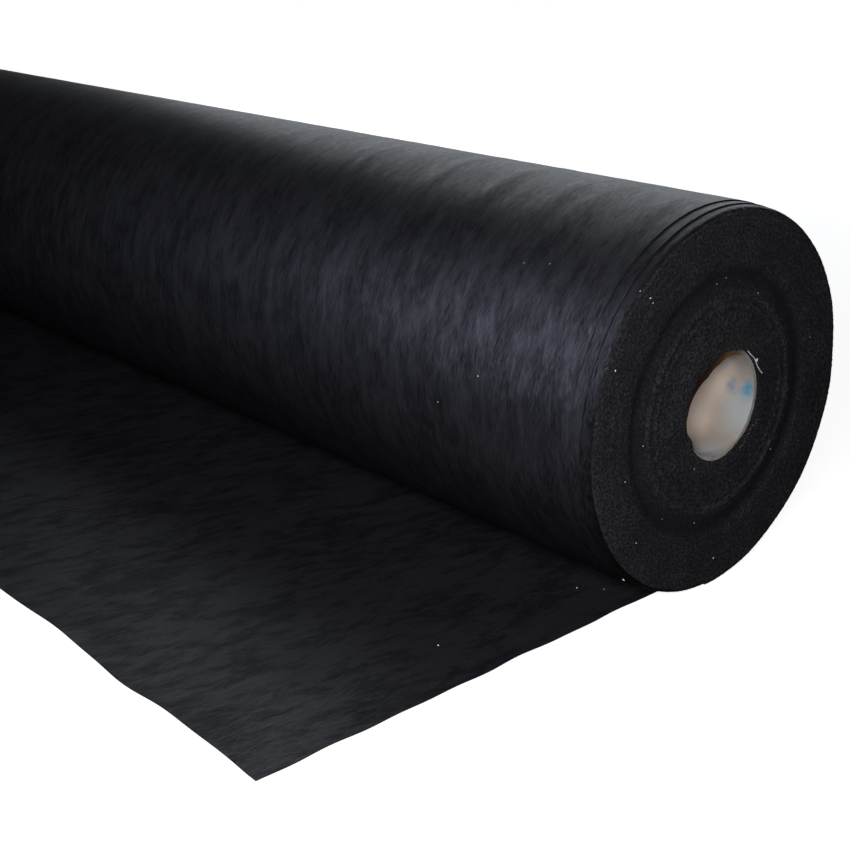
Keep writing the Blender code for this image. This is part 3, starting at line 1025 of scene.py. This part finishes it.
# Each lamp's name, place, size, power and colour
LAMPS = [
    ("behind_the_roll", (-0.68, 1.76, 1.33), (2.59, 2.13), 18.9, (0.88, 0.93, 1.0)),
    ("window_at_the_left", (0.22, -0.86, 0.57), (0.28, 0.85), 3.1, (0.70, 0.74, 1.0)),
    ("beside_the_camera", (1.26, -0.69, 0.45), (0.25, 0.25), 11.0, (0.94, 0.93, 1.0)),
]
WORLD_LEVEL = 0.012
WHITE = (1.0, 1.0, 1.0, 1.0)
FLOOR_REACH = 30.0
FLOOR_DROP = 0.3 * MM
FLOOR_ROUGHNESS = 0.9
# The floor as the camera sees it and as the lamps light it, and its own glow for the camera near and far
FLOOR_SEEN = (0.35, 0.35, 0.35)
FLOOR_FOR_LAMPS = (0.06, 0.06, 0.06)
FLOOR_GLOW_NEAR, FLOOR_GLOW_FAR = 0.86, 1.0
GLOW_FROM, GLOW_TO = 1.0, 2.2


def area_light(name, place, size, power, colour):
    data = bpy.data.lights.new(name, "AREA")
    data.shape = "RECTANGLE"
    data.size, data.size_y = size
    data.energy = power
    data.color = colour
    light = put(name, data)
    light.location = place
    light.visible_camera = False
    light.rotation_euler = (Vector(LIGHT_TARGET) - Vector(place)).to_track_quat("-Z", "Y").to_euler()


def floor_material():
    """A pale floor that glows white for the camera alone, and keeps the object's shadow."""
    material, tree, shader = new_material("pale_floor")
    to_camera = add(tree, "LightPath").outputs["Is Camera Ray"]
    colour = mixed(tree, to_camera, solid(FLOOR_FOR_LAMPS), solid(FLOOR_SEEN))
    fill(tree, shader, {"Base Color": colour, "Roughness": FLOOR_ROUGHNESS, "Specular IOR Level": 0.0})
    where = add(tree, "TexCoord").outputs["Object"]
    away = vector_node(tree, "LENGTH", where)["Value"]
    level = fade(tree, away, GLOW_FROM, GLOW_TO, FLOOR_GLOW_NEAR, FLOOR_GLOW_FAR)
    glow = math_node(tree, "MULTIPLY", to_camera, level)
    fill(tree, shader, {"Emission Color": WHITE, "Emission Strength": glow})
    return material


def make_stage():
    mesh = bpy.data.meshes.new("floor")
    reach = FLOOR_REACH
    corners = [(-reach, -reach, 0), (reach, -reach, 0), (reach, reach, 0), (-reach, reach, 0)]
    mesh.from_pydata(corners, [], [(0, 1, 2, 3)])
    floor = put("floor", mesh)
    floor.location.z = -FLOOR_DROP
    mesh.materials.append(floor_material())


def make_light():
    """A faint world that the camera sees as white, and the lamps."""
    world = bpy.data.worlds.new("studio")
    world.use_nodes = True
    bpy.context.scene.world = world
    tree = world.node_tree
    path = add(tree, "LightPath")
    seen = math_node(tree, "MAXIMUM", path.outputs["Is Camera Ray"], path.outputs["Is Transmission Ray"])
    strength = math_node(tree, "ADD", math_node(tree, "MULTIPLY", seen, 1.0 - WORLD_LEVEL), WORLD_LEVEL)
    fill(tree, tree.nodes["Background"], {"Color": WHITE, "Strength": strength})
    for lamp in LAMPS:
        area_light(*lamp)


# The pieces

# Each outer wrap's node, its first and last turn, its shift along the roll and its seed
WRAPS = [
    ("outermost_wrap", 0.0, 1.0, OUTERMOST_WRAP_SHIFT, 21),
    ("second_wrap", 1.0, SECOND_WRAP_END, SECOND_WRAP_SHIFT, 22),
]
RUNS_OUTSIDE = ROLL_RADIUS - len(WRAPS) * WRAP_PITCH
# Each run's node, its inner and outer radius and its seed, and what else it has of its own
RUNS = [
    ("windings_inner", CORE_RADIUS + SEAT_GAP, INNER_RUN_RADIUS, 100, {"lip": mouth_edge}),
    ("windings_middle", INNER_RUN_RADIUS + HAIR_GAP, MIDDLE_RUN_RADIUS, 200, {}),
    ("windings_outer", MIDDLE_RUN_RADIUS + HAIR_GAP, RUNS_OUTSIDE, 300, {"turns_in": len(WRAPS)}),
]


def finish_piece(obj, material, node):
    obj.data.materials.append(material)
    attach(obj, "roll")
    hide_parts(node)


def make_roll(sheet_look, turned_look, edges, board):
    """The two outer wraps, the three runs under them, and the core."""
    for node, *shape in WRAPS:
        wrap = wound_wrap(f"fleece_{node}", *shape)
        finish_piece(wrap, sheet_look, node)
    for node, inner, outer, seed, own in RUNS:
        run = wound_run(f"fleece_{node}", inner, outer, seed, **own)
        finish_piece(run, edges, node)
    paint_outside(run, turned_look, RUNS_OUTSIDE)
    finish_piece(core_board(), board, "core_tube")


def lint_on_end_face(material):
    """Specks at the pixels where they show, and loose ones scattered over the face."""
    rng = random.Random(LOOSE_SEED)
    out = Vector((1, 0, 0))
    places = [
        (pixel_on_plane(px, py, 0, NEAR_X), out, size * SPECK_SPREAD * MM) for px, py, size in FACE_SPECKS
    ]
    for _ in range(LOOSE_SPECKS):
        a = rng.uniform(0, FULL_TURN)
        r = ROLL_RADIUS * math.sqrt(rng.uniform(*LOOSE_SHARES))
        place = Vector((NEAR_X - LOOSE_DEPTH, r * math.sin(a), AXIS_Z - r * math.cos(a)))
        places.append((place, out, rng.uniform(*LOOSE_SIZES) * MM))
    flakes("lint_on_end_face", places, material, "roll", seed=9)


def lint_on_wrap(material):
    places = []
    for px, py, size in WRAP_SPECKS:
        place = pixel_on_cylinder(px, py, ROLL_RADIUS, -1)
        places.append((place, Vector((0, place.y, place.z - AXIS_Z)).normalized(), size * SPECK_SPREAD * MM))
    flakes("lint_on_wrap", places, material, "roll", seed=10)


def lint_on_free_end(material):
    """Each speck lies on the sheet."""
    columns, cuts = tail_places()
    upper = tail_surface(columns)[0]
    for number, (px, py, size) in enumerate(TAIL_SPECKS):
        aim = np.array(pixel_on_plane(px, py, 2, TAIL_SPECK_HEIGHT))
        apart = np.linalg.norm(upper - aim, axis=-1)
        row, column = np.unravel_index(apart.argmin(), apart.shape)
        place = Vector((aim[0], aim[1], upper[row, column, 2]))
        lying = [(place, Vector((0, 0, 1)), size * SPECK_SPREAD * MM)]
        speck = flakes(f"lint_on_free_end_{number + 1}", lying, material, None, seed=number)
        bend_over_hinge(speck)


# Pixels that the white thread at the mouth runs through, and how far it stands off the face by turns
THREAD_PIXELS = [(748, 351), (751, 355), (755, 358), (756, 362), (758, 368), (762, 373)]
THREAD_OFF_FACE = (1.0, 1.8)
THREAD_RADIUS = 0.36 * MM
KNOT_PIXEL = (756, 360)
KNOT_OFF_FACE = 2 * MM
KNOT_SIZE = 5 * MM
# The row of frayed fibres: the pixels of its ends, and the pixels by which its roots stray
FRAY_FROM, FRAY_TO = (755, 419), (738, 449)
FRAY_STRAY_X, FRAY_STRAY_Y = (-0.6, 1.8), (-0.8, 1.4)
FRAYS = 22
FRAY_SEED = 5
FRAY_ROOT_DEPTH = 0.3 * MM
FRAY_RADIUS = 0.11 * MM
# How far a fray leans, out of the face and over it, how its tip strays, and where its middle and tip lie
FRAY_LEAN = 0.8
FRAY_OUT = (0.5, 1.2)
FRAY_TIP_STRAY = 0.5
FRAY_MIDDLE_SHARE, FRAY_TIP_SHARE = 0.6, 1.6


def make_threads():
    """The pale thread at the mouth's upper right, its knot, and the frayed fibres at the lower right."""
    white = plain_material("pale_fibre", (0.50, 0.50, 0.54), roughness=0.6, scale=1500.0, spread=0.3)
    grey_fibre = plain_material("grey_fibre", (0.12, 0.12, 0.13), roughness=0.6, scale=1500.0, spread=0.3)
    off = [NEAR_X + THREAD_OFF_FACE[k % 2] * MM for k in range(len(THREAD_PIXELS))]
    run = [pixel_on_plane(*pixel, 0, place) for pixel, place in zip(THREAD_PIXELS, off)]
    threads("mouth_thread", [run], THREAD_RADIUS, white, "roll")
    knot = pixel_on_plane(*KNOT_PIXEL, 0, NEAR_X + KNOT_OFF_FACE)
    flakes("mouth_thread_knot", [(knot, Vector((1, 0, 0)), KNOT_SIZE)], white, "roll", seed=3)
    rng = random.Random(FRAY_SEED)
    frayed = []
    for k in range(FRAYS):
        share = k / (FRAYS - 1)
        px = FRAY_FROM[0] + (FRAY_TO[0] - FRAY_FROM[0]) * share + rng.uniform(*FRAY_STRAY_X)
        py = FRAY_FROM[1] + (FRAY_TO[1] - FRAY_FROM[1]) * share + rng.uniform(*FRAY_STRAY_Y)
        root = pixel_on_plane(px, py, 0, NEAR_X - FRAY_ROOT_DEPTH)
        lean = Vector((rng.uniform(*FRAY_OUT), rng.uniform(-1, 1), rng.uniform(-1, 1))) * FRAY_LEAN * MM
        stray = Vector((0, rng.uniform(-1, 1), rng.uniform(-1, 1))) * FRAY_TIP_STRAY * MM
        tip = root + lean * FRAY_TIP_SHARE + stray
        frayed.append([root, root + lean * FRAY_MIDDLE_SHARE, root + lean, tip])
    threads("mouth_frays", frayed, FRAY_RADIUS, grey_fibre, "roll")


def main():
    make_camera()
    make_stage()
    make_light()
    wound = fleece_material("fleece_wound", WRAP_PAINTED_NIP_SHADE, WOUND_SHINE)
    laid = fleece_material("fleece_laid", TAIL_PAINTED_LIGHT_AND_SHADE, LAID_SHINE)
    turned = fleece_material("fleece_turned_over", WRAP_PAINTED_NIP_SHADE, TURNED_SHINE, stepped=True)
    make_roll(wound, turned, edge_material(), board_material())
    free_end(laid)
    lint = plain_material("lint", (0.80, 0.79, 0.74), roughness=0.8, scale=900.0, spread=0.35)
    lint_on_end_face(lint)
    lint_on_wrap(lint)
    lint_on_free_end(lint)
    make_threads()
    tape = plain_material("tape", (0.75, 0.74, 0.70), roughness=0.5, scale=60.0, spread=0.15)
    on_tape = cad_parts["start_tape"].data.materials
    on_tape.clear()
    on_tape.append(tape)
    bpy.context.scene.view_settings.view_transform = "Standard"


main()
